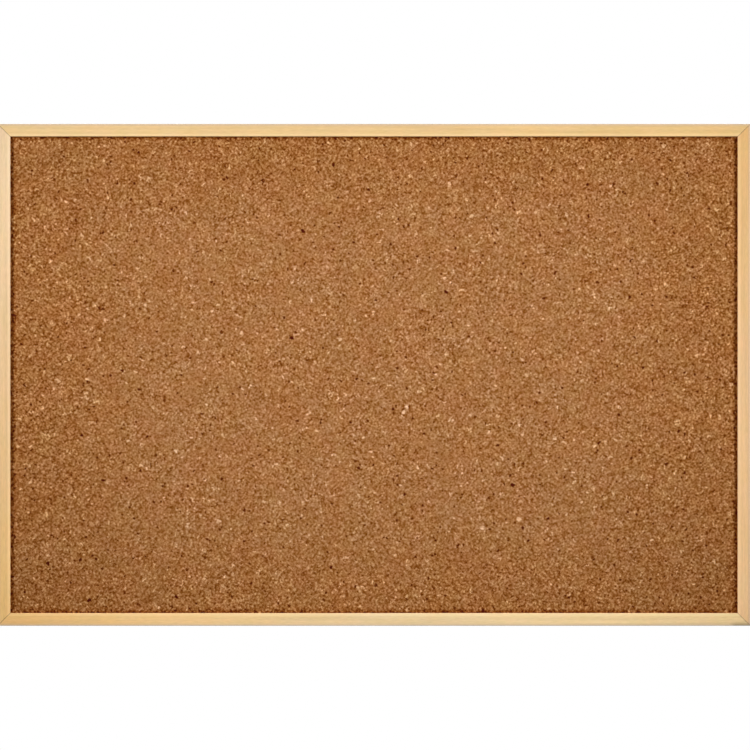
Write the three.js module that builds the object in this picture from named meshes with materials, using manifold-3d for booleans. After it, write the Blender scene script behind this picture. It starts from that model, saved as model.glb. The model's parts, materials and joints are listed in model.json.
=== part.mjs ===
// A cork board: a cork sheet on softboard and hardboard, held in a mitred pine frame, with two ring
// hangers and four pads behind. Millimetres, X across, Z up, the front faces -Y.
// The origin is the centre of the box round the whole board, pads included.
import * as THREE from "three";
import { mergeVertices } from "three/addons/utils/BufferGeometryUtils.js";
import Module from "manifold-3d";

const wasm = await Module();
wasm.setup();

// Outline of the board
const boardWidth = 900;
const boardHeight = 600;

// Section of the rails
const railFace = 15; // across the front
const railDepth = 20; // front to back
const lipWidth = 4; // how far the lip covers the panel
const lipDepth = 3.5; // thickness of the lip, and so the depth of the cork behind the front
const outerArris = 1; // radius of the rounded edge at the outside of the front
const innerArris = 0.8; // radius of the rounded edge beside the cork
const backArris = 0.6; // flat cut along the outer edge of the back
const mitreEase = 0.2; // small flat cut round the mitred ends
const glueLine = 0.05; // room for glue in each mitre
const arrisSteps = 3;

// Layers of the panel, front to back
const corkThickness = 3;
const coreThickness = 8;
const backingThickness = 2.5;
const panelPlay = 0.5; // room round the panel in the rebate

// V-nails across the mitres
const vNailLeg = 6;
const vNailThickness = 0.4;
const vNailHeight = 10;
const vNailSink = 0.3; // how far its back edge lies below the back of the rails
const vNailBend = 0.6; // outer radius of its fold
const vNailBendSteps = 4;
const vNailShares = [0.28, 0.64]; // places of the two folds, as shares of the wall behind the lip

// Flexible points that keep the panel in
const pointThickness = 0.5;
const pointWidth = 6;
const pointBite = 6.5; // length in the wood
const pointReach = 9; // length over the backing, with its tail
const pointHead = 3; // length of the sharp end
const pointTail = 2.6; // length of the raised tail
const pointTailAngle = Math.PI / 7;
const pointTailCorner = 1.2;
const pointsOnLongRail = 4;
const pointsOnShortRail = 2;

// Wire rings of the hangers
const ringWidth = 13; // outside, across the board
const wireDiameter = 1.8;
const ringBend = 1.5; // radius of its two square corners, at the middle of the wire
const ringSide = 4; // straight side, from the pivot down to the round end
const ringSlit = 0.3; // where the ends of the wire meet, inside the knuckle
const ringSteps = 48;
const wireSides = 10;

// Straps of the hangers
const strapWidth = 7;
const strapThickness = 0.8;
const strapMargin = 3.5; // from the middle of the screw to the end of the strap
const strapEndSteps = 8;
const knucklePlay = 0.15; // round the wire in the knuckle
const knuckleAngle = (280 * Math.PI) / 180; // how far the knuckle rolls round the wire
const knuckleSteps = 9;
const hangerInset = 6.8; // from the side of the board to the middle of the hanger
const hangerDrop = 80; // from the top of the board to the pivot

// Pan-head screws of the hangers
const screwLength = 12;
const screwDiameter = 3; // over the thread
const screwCore = 2;
const threadPitch = 1.2;
const headDiameter = 5.6;
const headHeight = 2;
const headEdge = 0.7; // height of the straight side of the head
const crossLength = 3.2;
const crossWidth = 0.7;
const crossDepth = 1.2;
const screwRoom = 0.4; // between the ring and the head of the screw
const screwSides = 16;
const crownSteps = 4;

// Rubber pads
const padDiameter = 8;
const padTopDiameter = 6.6;
const padHeight = 4;
const padRound = 0.7; // radius of the edge of its flat end
const padFromSide = 40; // from the side of the board to the middle of the pad
const padSides = 24;
const padRoundSteps = 3;

// Shared by all cuts
const cutGap = 0.3; // round what is driven into the wood
const overrun = 1; // how far a cutter goes past the face that it opens

// Places worked out from the sizes above
const wall = railFace - lipWidth;
const panelWidth = boardWidth - 2 * (wall + panelPlay);
const panelHeight = boardHeight - 2 * (wall + panelPlay);
const corkY = lipDepth;
const coreY = corkY + corkThickness;
const backingY = coreY + coreThickness;
const pointY = backingY + backingThickness;
const wireRadius = wireDiameter / 2;
const knuckleInner = wireRadius + knucklePlay;
const knuckleOuter = knuckleInner + strapThickness;
const ringReach = ringSide + ringWidth / 2;
const screwDrop = ringReach + screwRoom + headDiameter / 2;
const hangerZ = boardHeight / 2 - hangerDrop;
const hangerX = boardWidth / 2 - hangerInset;
const quarter = Math.PI / 2;

const finish = (color, roughness, metalness) =>
  new THREE.MeshStandardMaterial({ color, roughness, metalness });
const pine = () => finish(0xe8c590, 0.55, 0);
const cork = () => finish(0xa87244, 0.9, 0);
const softboard = () => finish(0xb79a6e, 0.95, 0);
const hardboard = () => finish(0x6f4c30, 0.6, 0);
const zinc = () => finish(0xb9bcc0, 0.35, 1);
const rubber = () => finish(0x2a2a2b, 0.8, 0);

// A closed solid with the faces of a geometry.
function solid(geometry) {
  const bare = geometry.clone();
  bare.deleteAttribute("normal");
  bare.deleteAttribute("uv");
  const merged = mergeVertices(bare);
  return new wasm.Manifold(
    new wasm.Mesh({
      numProp: 3,
      vertProperties: new Float32Array(merged.attributes.position.array),
      triVerts: new Uint32Array(merged.index.array),
    }),
  );
}

// The faces of a solid as a geometry, each with its own flat normal.
function faces(body) {
  const mesh = body.getMesh();
  const shared = new THREE.BufferGeometry();
  shared.setAttribute("position", new THREE.BufferAttribute(mesh.vertProperties, mesh.numProp));
  shared.setIndex(new THREE.BufferAttribute(mesh.triVerts, 1));
  const flat = shared.toNonIndexed();
  flat.computeVertexNormals();
  return flat;
}

function piece(name, geometry, material) {
  const mesh = new THREE.Mesh(geometry, material);
  mesh.name = name;
  return mesh;
}

// An outline in (x, y) pushed through depth, then turned so that the three axes given are its own.
// Each arc in it gets twice as many steps as curveSegments.
function pushed(outline, depth, axes, curveSegments = 1) {
  const geometry = new THREE.ExtrudeGeometry(outline, { depth, bevelEnabled: false, curveSegments });
  return geometry.applyMatrix4(new THREE.Matrix4().makeBasis(...axes));
}
const alongX = new THREE.Vector3(1, 0, 0);
const alongY = new THREE.Vector3(0, 1, 0);
const alongZ = new THREE.Vector3(0, 0, 1);
const downZ = new THREE.Vector3(0, 0, -1);
const planUpward = [alongX, downZ, alongY]; // an outline in (x, -z), pushed towards the back
const sideUpward = [alongY, alongZ, alongX]; // an outline in (depth, z), pushed across

// The section of a rail: first number from the outer edge inwards, second from the front backwards.
function railSection() {
  const outline = new THREE.Shape();
  outline.moveTo(0, outerArris);
  outline.absarc(outerArris, outerArris, outerArris, Math.PI, 3 * quarter, false);
  outline.lineTo(railFace - innerArris, 0);
  outline.absarc(railFace - innerArris, innerArris, innerArris, 3 * quarter, 4 * quarter, false);
  outline.lineTo(railFace, lipDepth);
  outline.lineTo(wall, lipDepth);
  outline.lineTo(wall, railDepth);
  outline.lineTo(backArris, railDepth);
  outline.lineTo(0, railDepth - backArris);
  outline.closePath();
  return outline;
}

// A rail along X with its outer edge on z = 0 and its front on y = 0, mitred at both ends.
function railBlank(length) {
  const reach = length - glueLine;
  const geometry = new THREE.ExtrudeGeometry(railSection(), {
    depth: reach - 2 * mitreEase,
    curveSegments: arrisSteps,
    bevelEnabled: true,
    bevelThickness: mitreEase,
    bevelSize: mitreEase,
    bevelOffset: -mitreEase,
    bevelSegments: 1,
  });
  geometry.applyMatrix4(new THREE.Matrix4().makeBasis(downZ, alongY, alongX));
  geometry.translate(mitreEase - reach / 2, 0, 0);
  const place = geometry.attributes.position;
  for (let i = 0; i < place.count; i++) {
    const x = place.getX(i);
    place.setX(i, x + Math.sign(x) * place.getZ(i));
  }
  return geometry;
}

// A V-nail, or with a gap the slot for it: two legs from the fold at (-inset, -inset) of a corner.
function vNail(inset, gap, height) {
  const half = vNailThickness / 2 + gap;
  const bend = vNailBend + gap;
  const tip = vNailLeg + gap;
  const inner = inset + half;
  const outer = inset - half;
  const outline = new THREE.Shape();
  outline.moveTo(-inset - tip, outer);
  outline.lineTo(-outer - bend, outer);
  outline.absarc(-outer - bend, outer + bend, bend, -quarter, 0, false);
  outline.lineTo(-outer, inset + tip);
  outline.lineTo(-inner, inset + tip);
  outline.lineTo(-inner, inner);
  outline.lineTo(-inset - tip, inner);
  outline.closePath();
  return pushed(outline, height, planUpward, vNailBendSteps);
}

// A flexible point beside the outer edge of a rail: its head is in the wall and its tail is raised.
function point() {
  const side = new THREE.Shape();
  const bendZ = -wall - pointReach + pointTail;
  const rise = pointTail * Math.sin(pointTailAngle);
  const run = pointTail * Math.cos(pointTailAngle);
  side.moveTo(0, pointBite - wall);
  side.lineTo(0, bendZ);
  side.lineTo(rise, bendZ - run);
  side.lineTo(rise + pointThickness, bendZ - run);
  side.lineTo(pointThickness, bendZ);
  side.lineTo(pointThickness, pointBite - wall);
  side.closePath();
  const strip = pushed(side, pointWidth, sideUpward);
  strip.translate(-pointWidth / 2, 0, 0);
  const plan = pushed(pointPlan(0, pointReach), pointTail + 2 * overrun, planUpward);
  plan.translate(0, -overrun, 0);
  return faces(solid(strip).intersect(solid(plan)));
}

// The plan of a point in (x, -z), with a gap round it for its slot, and its reach past the wall.
function pointPlan(gap, reach) {
  const half = pointWidth / 2 + gap;
  const tip = wall - pointBite - gap;
  const end = wall + reach;
  const outline = new THREE.Shape();
  outline.moveTo(0, tip);
  outline.lineTo(half, tip + pointHead);
  outline.lineTo(half, end - pointTailCorner);
  outline.lineTo(half - pointTailCorner, end);
  outline.lineTo(pointTailCorner - half, end);
  outline.lineTo(-half, end - pointTailCorner);
  outline.lineTo(-half, tip + pointHead);
  outline.closePath();
  return outline;
}

// A straight round bar along Y from y = 0 backwards.
function bar(radius, length, sides) {
  return new THREE.CylinderGeometry(radius, radius, length, sides).translate(0, length / 2, 0);
}

// Even places along a rail, counted from its middle.
function spread(count, length) {
  return Array.from({ length: count }, (_, i) => length * ((i + 0.5) / count - 0.5));
}

// A rail with its slots for V-nails and points, and a pilot hole where a hanger is screwed on.
function rail(length, pointPlaces, pilotPlaces) {
  let body = solid(railBlank(length));
  const slotHeight = vNailHeight + cutGap + vNailSink + overrun;
  for (const end of [1, -1]) {
    for (const share of vNailShares) {
      const slot = vNail(wall * share, cutGap, slotHeight);
      slot.rotateY(end > 0 ? 0 : -quarter);
      slot.translate((end * length) / 2, railDepth + overrun - slotHeight, 0);
      body = body.subtract(solid(slot));
    }
  }
  for (const x of pointPlaces) {
    const slot = pushed(pointPlan(cutGap, overrun), pointThickness + 2 * cutGap, planUpward);
    slot.translate(x, pointY - cutGap, 0);
    body = body.subtract(solid(slot));
  }
  for (const x of pilotPlaces) {
    const hole = bar(screwDiameter / 2 + cutGap, screwLength + overrun, screwSides);
    hole.translate(x, railDepth - screwLength, -hangerInset);
    body = body.subtract(solid(hole));
  }
  return faces(body);
}

// The wire ring: a D with its straight bar on the pivot and its round end below.
class RingLine extends THREE.Curve {
  constructor() {
    super();
    const half = (ringWidth - wireDiameter) / 2;
    this.outline = new THREE.Path();
    this.outline.moveTo(ringSlit / 2, 0);
    this.outline.lineTo(half - ringBend, 0);
    this.outline.absarc(half - ringBend, -ringBend, ringBend, quarter, 0, true);
    this.outline.lineTo(half, -ringSide);
    this.outline.absarc(0, -ringSide, half, 0, -Math.PI, true);
    this.outline.lineTo(-half, -ringBend);
    this.outline.absarc(ringBend - half, -ringBend, ringBend, Math.PI, quarter, true);
    this.outline.lineTo(-ringSlit / 2, 0);
  }

  getPoint(t, target = new THREE.Vector3()) {
    const place = this.outline.getPoint(t);
    return target.set(place.x, 0, place.y);
  }
}

function ring() {
  const wire = new THREE.Shape();
  wire.absarc(0, 0, wireRadius, 0, 4 * quarter, false);
  return new THREE.ExtrudeGeometry(wire, {
    steps: ringSteps,
    curveSegments: wireSides / 2,
    extrudePath: new RingLine(),
  });
}

// The strap: flat on the rail below the pivot, and rolled round the wire at its top.
function strap() {
  const length = screwDrop + strapMargin;
  const side = new THREE.Shape();
  side.moveTo(0, -length);
  side.lineTo(0, 0);
  side.absarc(knuckleOuter, 0, knuckleOuter, Math.PI, Math.PI - knuckleAngle, true);
  const tip = Math.PI - knuckleAngle;
  side.lineTo(knuckleOuter + knuckleInner * Math.cos(tip), knuckleInner * Math.sin(tip));
  side.absarc(knuckleOuter, 0, knuckleInner, tip, Math.PI, false);
  side.lineTo(strapThickness, -length);
  side.closePath();
  const strip = pushed(side, strapWidth, sideUpward, knuckleSteps);
  strip.translate(-strapWidth / 2, 0, 0);

  const plan = new THREE.Shape();
  plan.moveTo(-strapWidth / 2, -knuckleOuter - overrun);
  plan.lineTo(strapWidth / 2, -knuckleOuter - overrun);
  plan.lineTo(strapWidth / 2, length - strapWidth / 2);
  plan.absarc(0, length - strapWidth / 2, strapWidth / 2, 0, Math.PI, false);
  plan.closePath();
  const block = pushed(plan, 2 * (knuckleOuter + overrun), planUpward, strapEndSteps);
  block.translate(0, -overrun, 0);

  const hole = bar(screwDiameter / 2 + cutGap, strapThickness + 2 * overrun, screwSides);
  hole.translate(0, -overrun, -screwDrop);
  return faces(solid(strip).intersect(solid(block)).subtract(solid(hole)));
}

// A screw with the underside of its head on y = 0 and its tip in front of it.
function screw() {
  const headRadius = headDiameter / 2;
  const threadRadius = screwDiameter / 2;
  const coreRadius = screwCore / 2;
  const profile = [new THREE.Vector2(0, -screwLength)];
  const turns = Math.floor((screwLength - screwDiameter) / threadPitch);
  for (let turn = 0; turn < turns; turn++) {
    const foot = threadPitch * (turn + 1) - screwLength;
    profile.push(new THREE.Vector2(coreRadius, foot - threadPitch / 4));
    profile.push(new THREE.Vector2(threadRadius, foot));
    profile.push(new THREE.Vector2(coreRadius, foot + threadPitch / 4));
  }
  profile.push(new THREE.Vector2(coreRadius, -threadPitch / 2));
  profile.push(new THREE.Vector2(coreRadius, 0));
  profile.push(new THREE.Vector2(headRadius, 0));
  profile.push(new THREE.Vector2(headRadius, headEdge));
  const crown = headHeight - headEdge;
  for (let step = 1; step <= crownSteps; step++) {
    const angle = (step / crownSteps) * quarter;
    profile.push(new THREE.Vector2(headRadius * Math.cos(angle), headEdge + crown * Math.sin(angle)));
  }
  profile[profile.length - 1].x = 0;
  let body = solid(new THREE.LatheGeometry(profile, screwSides));
  for (const angle of [0, quarter]) {
    const slot = new THREE.BoxGeometry(crossLength, crossDepth + overrun, crossWidth);
    slot.rotateY(angle);
    slot.translate(0, headHeight - crossDepth + (crossDepth + overrun) / 2, 0);
    body = body.subtract(solid(slot));
  }
  return faces(body);
}

function pad() {
  const flatRadius = padTopDiameter / 2 - padRound;
  const profile = [new THREE.Vector2(0, 0), new THREE.Vector2(padDiameter / 2, 0)];
  for (let step = 0; step <= padRoundSteps; step++) {
    const angle = (step / padRoundSteps) * quarter;
    profile.push(
      new THREE.Vector2(
        flatRadius + padRound * Math.cos(angle),
        padHeight - padRound + padRound * Math.sin(angle),
      ),
    );
  }
  profile.push(new THREE.Vector2(0, padHeight));
  return new THREE.LatheGeometry(profile, padSides);
}

function layer(name, frontY, thickness, material) {
  const sheet = piece(name, new THREE.BoxGeometry(panelWidth, thickness, panelHeight), material);
  sheet.position.y = frontY + thickness / 2;
  return sheet;
}

// Everything inside is placed from the front face of the frame.
const board = new THREE.Group();
board.position.y = -(railDepth + padHeight) / 2;

board.add(layer("cork_sheet", corkY, corkThickness, cork()));
board.add(layer("softboard_core", coreY, coreThickness, softboard()));
board.add(layer("hardboard_back", backingY, backingThickness, hardboard()));

// Each side in turn: the turn about Y brings the rail's outer edge to that side of the board.
const pilotZ = hangerZ - screwDrop;
const sides = [
  { name: "top", turn: 0, length: boardWidth, out: boardHeight / 2, points: pointsOnLongRail, pilots: [] },
  { name: "right", turn: 1, length: boardHeight, out: boardWidth / 2, points: pointsOnShortRail, pilots: [-pilotZ] },
  { name: "bottom", turn: 2, length: boardWidth, out: boardHeight / 2, points: pointsOnLongRail, pilots: [] },
  { name: "left", turn: 3, length: boardHeight, out: boardWidth / 2, points: pointsOnShortRail, pilots: [pilotZ] },
];
for (const { name, turn, length, out, points, pilots } of sides) {
  const side = new THREE.Group();
  side.rotation.y = turn * quarter;
  side.position.set(Math.round(Math.sin(turn * quarter)) * out, 0, Math.round(Math.cos(turn * quarter)) * out);
  const places = spread(points, length - 2 * railFace);
  side.add(piece(`${name}_rail`, rail(length, places, pilots), pine()));
  places.forEach((x, i) => {
    const clip = piece(`${name}_point_${i + 1}`, point(), zinc());
    clip.position.set(x, pointY, 0);
    side.add(clip);
  });
  board.add(side);
}

// Two V-nails behind each corner, turned with the corner.
const corners = [
  { name: "top_right", turn: 0, x: 1, z: 1 },
  { name: "bottom_right", turn: 1, x: 1, z: -1 },
  { name: "bottom_left", turn: 2, x: -1, z: -1 },
  { name: "top_left", turn: 3, x: -1, z: 1 },
];
for (const { name, turn, x, z } of corners) {
  const corner = new THREE.Group();
  corner.rotation.y = turn * quarter;
  corner.position.set((x * boardWidth) / 2, railDepth - vNailSink - vNailHeight, (z * boardHeight) / 2);
  vNailShares.forEach((share, i) => {
    const which = i === 0 ? "outer" : "inner";
    corner.add(piece(`${name}_v_nail_${which}`, vNail(wall * share, 0, vNailHeight), zinc()));
  });
  board.add(corner);

  const cushion = piece(`${name}_pad`, pad(), rubber());
  cushion.position.set(x * (boardWidth / 2 - padFromSide), railDepth, z * (boardHeight / 2 - wall / 2));
  board.add(cushion);
}

// A hanger near the top of each side rail.
for (const [name, side] of [["left", -1], ["right", 1]]) {
  const hanger = new THREE.Group();
  hanger.position.set(side * hangerX, railDepth, hangerZ);
  hanger.add(piece(`${name}_hanger_strap`, strap(), zinc()));
  const wireRing = piece(`${name}_hanger_ring`, ring(), zinc());
  wireRing.position.y = knuckleOuter;
  hanger.add(wireRing);
  const fixing = piece(`${name}_hanger_screw`, screw(), zinc());
  fixing.position.set(0, strapThickness, -screwDrop);
  hanger.add(fixing);
  board.add(hanger);
}

const corkBoard = new THREE.Group();
corkBoard.name = "cork_board";
corkBoard.add(board);
export default corkBoard;
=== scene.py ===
import json
import math

import bmesh
import bpy
import numpy as np
from bpy.props import FloatProperty, FloatVectorProperty, IntProperty, PointerProperty
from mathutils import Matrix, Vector


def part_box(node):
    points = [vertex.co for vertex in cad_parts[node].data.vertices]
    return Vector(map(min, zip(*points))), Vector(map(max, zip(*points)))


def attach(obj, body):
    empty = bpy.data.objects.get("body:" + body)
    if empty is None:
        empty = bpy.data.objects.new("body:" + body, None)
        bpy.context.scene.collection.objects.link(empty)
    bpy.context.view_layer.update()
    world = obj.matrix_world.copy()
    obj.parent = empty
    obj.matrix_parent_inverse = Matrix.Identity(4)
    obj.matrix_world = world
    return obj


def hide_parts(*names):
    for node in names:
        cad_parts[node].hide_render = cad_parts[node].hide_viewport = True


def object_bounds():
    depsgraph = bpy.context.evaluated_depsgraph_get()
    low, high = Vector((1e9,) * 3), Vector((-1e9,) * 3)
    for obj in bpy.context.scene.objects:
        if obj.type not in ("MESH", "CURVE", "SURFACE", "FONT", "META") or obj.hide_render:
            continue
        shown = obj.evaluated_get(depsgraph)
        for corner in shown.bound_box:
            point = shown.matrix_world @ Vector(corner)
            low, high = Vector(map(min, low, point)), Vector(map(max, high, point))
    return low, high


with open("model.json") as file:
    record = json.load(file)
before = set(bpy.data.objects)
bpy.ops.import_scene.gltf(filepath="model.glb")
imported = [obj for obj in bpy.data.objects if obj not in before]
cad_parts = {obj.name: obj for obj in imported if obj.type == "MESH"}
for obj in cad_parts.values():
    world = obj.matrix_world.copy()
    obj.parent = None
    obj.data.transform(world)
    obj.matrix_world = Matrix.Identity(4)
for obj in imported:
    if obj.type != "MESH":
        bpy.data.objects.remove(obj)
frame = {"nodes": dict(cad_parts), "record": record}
cad_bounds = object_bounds()

bl_info = {
    "name": "Cork board",
    "version": (1, 0, 0),
    "blender": (4, 5, 0),
    "location": "3D View > Sidebar > Cork board",
    "description": "Dresses a framed cork board: cork, pine rails, backing, fixings, hangers and pads",
    "category": "Object",
}

MM = 0.001
LEVELS = 255.0  # tones of a displayed colour
WHITE = (1.0, 1.0, 1.0, 1.0)
FLAT = math.radians(1)  # faces that turn by less are one face
SHARP = math.radians(32)  # edges that turn by more are hard
WELD = 0.002 * MM  # points that lie closer are one point

board_low, board_high = (Vector(corner) for corner in cad_bounds)
RAIL_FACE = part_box("top_rail")[1].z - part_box("top_rail")[0].z
RAIL_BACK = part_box("top_rail")[1].y
CORK_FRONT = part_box("cork_sheet")[0].y


def length(name, description, default):
    """A size in metres that a user may change."""
    return FloatProperty(
        name=name, description=description, default=default, min=0.0, precision=5, unit="LENGTH"
    )


def watts(name, description, default):
    """The power of a lamp."""
    return FloatProperty(name=name, description=description, default=default, min=0.0)


def share(name, description, default):
    """A plain number from 0 upwards."""
    return FloatProperty(name=name, description=description, default=default, min=0.0, precision=4)


def tone(name, description, *levels):
    """A colour as it is displayed, from its three levels of 0 to 255."""
    shown = [level / LEVELS for level in levels]
    return FloatVectorProperty(
        name=name, description=description, default=shown, min=0.0, max=1.0, subtype="COLOR_GAMMA"
    )


class CorkSettings(bpy.types.PropertyGroup):
    colour: tone("Colour", "Mean colour of the cork", 164.2, 111.6, 66.0)
    granule: length("Granule", "Width of the granules", 3.6 * MM)
    crumb: length("Crumb", "Width of the crumbs between granules", 2.68 * MM)
    granule_tone: share("Granule tone", "Levels between the middle and the rim of a granule", 17.0)
    crumb_tone: share("Crumb tone", "Levels of the crumbs' mottling", 163.0)
    uneven: share("Uneven", "How far the granules' outlines are pushed about, in granules", 2.4)
    fleck: length("Fleck", "Width of the slanting pale and dark flecks", 2.05 * MM)
    fleck_tone: share("Fleck tone", "Levels from the mean to the palest or darkest fleck", 36.0)
    body_tone: share("Body tone", "Levels between the darkest and palest granule", 8.5)
    pore: length("Pore", "Width of the fine pores in the granules", 0.5 * MM)
    pore_tone: share("Pore tone", "Levels by which the pores are darker", 19.0)
    seam_tone: share("Seam tone", "Levels by which the seams are darker", 13.0)
    broad: length("Broad", "Width of the slow changes of tone over the sheet", 70.0 * MM)
    broad_tone: share("Broad tone", "Levels of the slow changes of tone", 5.0)
    patch: length("Patch", "Width of the patches where the granules stand out more or less", 34.0 * MM)
    patch_tone: share("Patch tone", "Share by which the contrast changes from patch to patch", 0.95)
    rim_contrast: share("Rim contrast", "Share by which the contrast is higher at the rails", 0.24)
    bark_share: share("Bark share", "Share of granules that are dark bark", 0.014)
    chunk_share: share("Chunk share", "Share of large granules that are dark bark", 0.0035)
    bark_tone: share("Bark tone", "Levels by which bark is darker", 59.0)
    chunk_tone: share("Chunk tone", "Times that by which large bark is darker", 1.4)
    pale_share: share("Pale share", "Share of granules that are pale", 0.023)
    pale_tone: share("Pale tone", "Levels by which pale granules are paler", 47.5)
    # Painted shade: the cork is darkened in a margin beside the rails, where the lips shade it.
    painted_shade: length("Painted shade", "Width of the darker margin beside the rails", 6.0 * MM)
    painted_shade_tone: share("Grime tone", "Levels by which the margin is darker at the rails", 38.0)
    brown_band_width: length("Brown band width", "Width of the browner band towards the rails", 140.0 * MM)
    red_patch: length("Red patch", "Width of the greener and redder patches", 30.0 * MM)
    yellow_patch: length("Yellow patch", "Width of the yellower patches", 18.0 * MM)
    relief: length("Relief", "How far the granules stand out or lie back", 0.1 * MM)
    pitch: length("Pitch", "Spacing of the mesh that carries the relief", 2.6 * MM)
    seed: IntProperty(name="Seed", description="Start of the random relief", default=11)


class PineSettings(bpy.types.PropertyGroup):
    top_first: tone("Top rail, left", "Left end of the top rail", 229, 194, 138)
    top_middle: tone("Top rail, middle", "Middle of the top rail", 223, 187, 131)
    top_last: tone("Top rail, right", "Right end of the top rail", 225, 187, 125)
    bottom_first: tone("Bottom rail, left", "Left end of the bottom rail", 246, 197, 126)
    bottom_middle: tone("Bottom rail, middle", "Middle of the bottom rail", 233, 203, 153)
    bottom_last: tone("Bottom rail, right", "Right end of the bottom rail", 246, 213, 156)
    left_first: tone("Left rail, low", "Lower end of the left rail", 243, 196, 125)
    left_middle: tone("Left rail, middle", "Middle of the left rail", 225, 188, 140)
    left_last: tone("Left rail, high", "Upper end of the left rail", 233, 202, 160)
    right_first: tone("Right rail, low", "Lower end of the right rail", 244, 199, 144)
    right_middle: tone("Right rail, middle", "Middle of the right rail", 226, 184, 134)
    right_last: tone("Right rail, high", "Upper end of the right rail", 221, 176, 114)
    streak: length("Streak", "Width of the grain's broad streaks", 2.2 * MM)
    streak_tone: share("Streak tone", "Share by which broad streaks differ from the mean", 0.3)
    fibre: length("Fibre", "Width of the fine fibres", 0.7 * MM)
    fibre_tone: share("Fibre tone", "Share by which fibres differ from the mean", 0.34)
    mitre_line: length("Mitre line", "Width of the dark line along a mitre", 1.0 * MM)
    # Painted highlight: a paler band along the inner edge beside the cork.
    highlit_edge: length("Highlit edge", "Width of the paler sanded edge beside the cork", 3.3 * MM)
    highlit_tone: share("Highlit tone", "Share by which the sanded edge is brighter", 0.14)
    # Painted sheen: the outer edge is greyed as if it reflected the white surroundings.
    sheened: tone("Sheened edge", "Tint of the outer edge, which is handled most", 208, 183, 160)
    # The lower edge is darkened near the right corner.
    dark_corner: tone("Dark corner", "Tint of the darkened edge at the lower right corner", 112, 96, 62)
    dark_corner_length: length("Stain length", "How far the mark runs along the lower edge", 26.0 * MM)
    soften: length("Soften", "Radius of the cut edges", 0.12 * MM)


class BackSettings(bpy.types.PropertyGroup):
    hardboard: tone("Hardboard", "Screen side of the hardboard", 122, 88, 60)
    screen: length("Screen", "Spacing of the screen marks pressed into the hardboard", 1.5 * MM)
    softboard: tone("Softboard", "The fibreboard under the cork", 184, 154, 110)
    steel: tone("Steel", "V-nails and points", 188, 190, 192)
    zinc: tone("Zinc", "Plating of the hangers", 196, 199, 202)
    rubber: tone("Rubber", "The pads", 44, 44, 45)
    ring_bend: length("Ring bend", "Radius of the two square corners of a ring", 1.5 * MM)
    ring_slit: length("Ring slit", "Gap between the ends of a ring's wire", 0.3 * MM)
    head_height: length("Head height", "Height of a screw's head", 2.0 * MM)
    edge_break: length("Edge break", "Radius of the edges of sheet metal", 0.12 * MM)


class StageSettings(bpy.types.PropertyGroup):
    lens: FloatProperty(name="Lens", description="Focal length in millimetres", default=200.0, min=20.0)
    picture_width: length("Picture width", "Width that the picture spans at the frame's front", 0.8967)
    aim: length("Aim", "How far the camera stands to the right of the board's middle", 1.2 * MM)
    dip: length("Dip", "How far the camera stands below the board's middle", 0.2 * MM)
    lamp_power: watts("Lamp power", "Watts of each side lamp", 234.0)
    back_power: watts("Back power", "Watts of each lamp behind", 150.0)
    fill: share("Fill", "Strength of the even light from all round", 0.08)
    floor_drop: length("Floor drop", "How far the floor lies below the middle of the board", 1.2)


class CorkBoardSettings(bpy.types.PropertyGroup):
    cork: PointerProperty(type=CorkSettings, name="Cork", description="The cork sheet")
    pine: PointerProperty(type=PineSettings, name="Pine", description="The four rails")
    back: PointerProperty(type=BackSettings, name="Back", description="Everything behind")
    stage: PointerProperty(type=StageSettings, name="Stage", description="Camera, lamps and floor")


def settings():
    """The sizes and colours that the scene holds."""
    return bpy.context.scene.cork_board


def linear(shown):
    """A displayed colour as the linear light that the shader wants."""
    parts = [c / 12.92 if c <= 0.04045 else ((c + 0.055) / 1.055) ** 2.4 for c in shown]
    return (*parts, 1.0)


class Field:
    """A number that varies over a surface. Arithmetic on it adds Math nodes."""

    def __init__(self, nodes, socket):
        self.nodes = nodes
        self.socket = socket

    def math(self, operation, *others):
        return self.nodes.math(operation, self, *others)

    def __add__(self, other):
        return self.math("ADD", other)

    __radd__ = __add__

    def __sub__(self, other):
        return self.math("SUBTRACT", other)

    def __rsub__(self, other):
        return self.nodes.math("SUBTRACT", other, self)

    def __mul__(self, other):
        return self.math("MULTIPLY", other)

    __rmul__ = __mul__

    def __truediv__(self, other):
        return self.math("DIVIDE", other)

    def __gt__(self, other):
        return self.math("GREATER_THAN", other)

    def __abs__(self):
        return self.math("ABSOLUTE")

    def ramp(self, low, high):
        """0 below low and 1 above high, smooth between; low above high turns it round."""
        made = self.nodes.node(
            "ShaderNodeMapRange",
            {"interpolation_type": "SMOOTHSTEP"},
            {"Value": self, "From Min": low, "From Max": high},
        )
        return Field(self.nodes, made.outputs["Result"])


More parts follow.
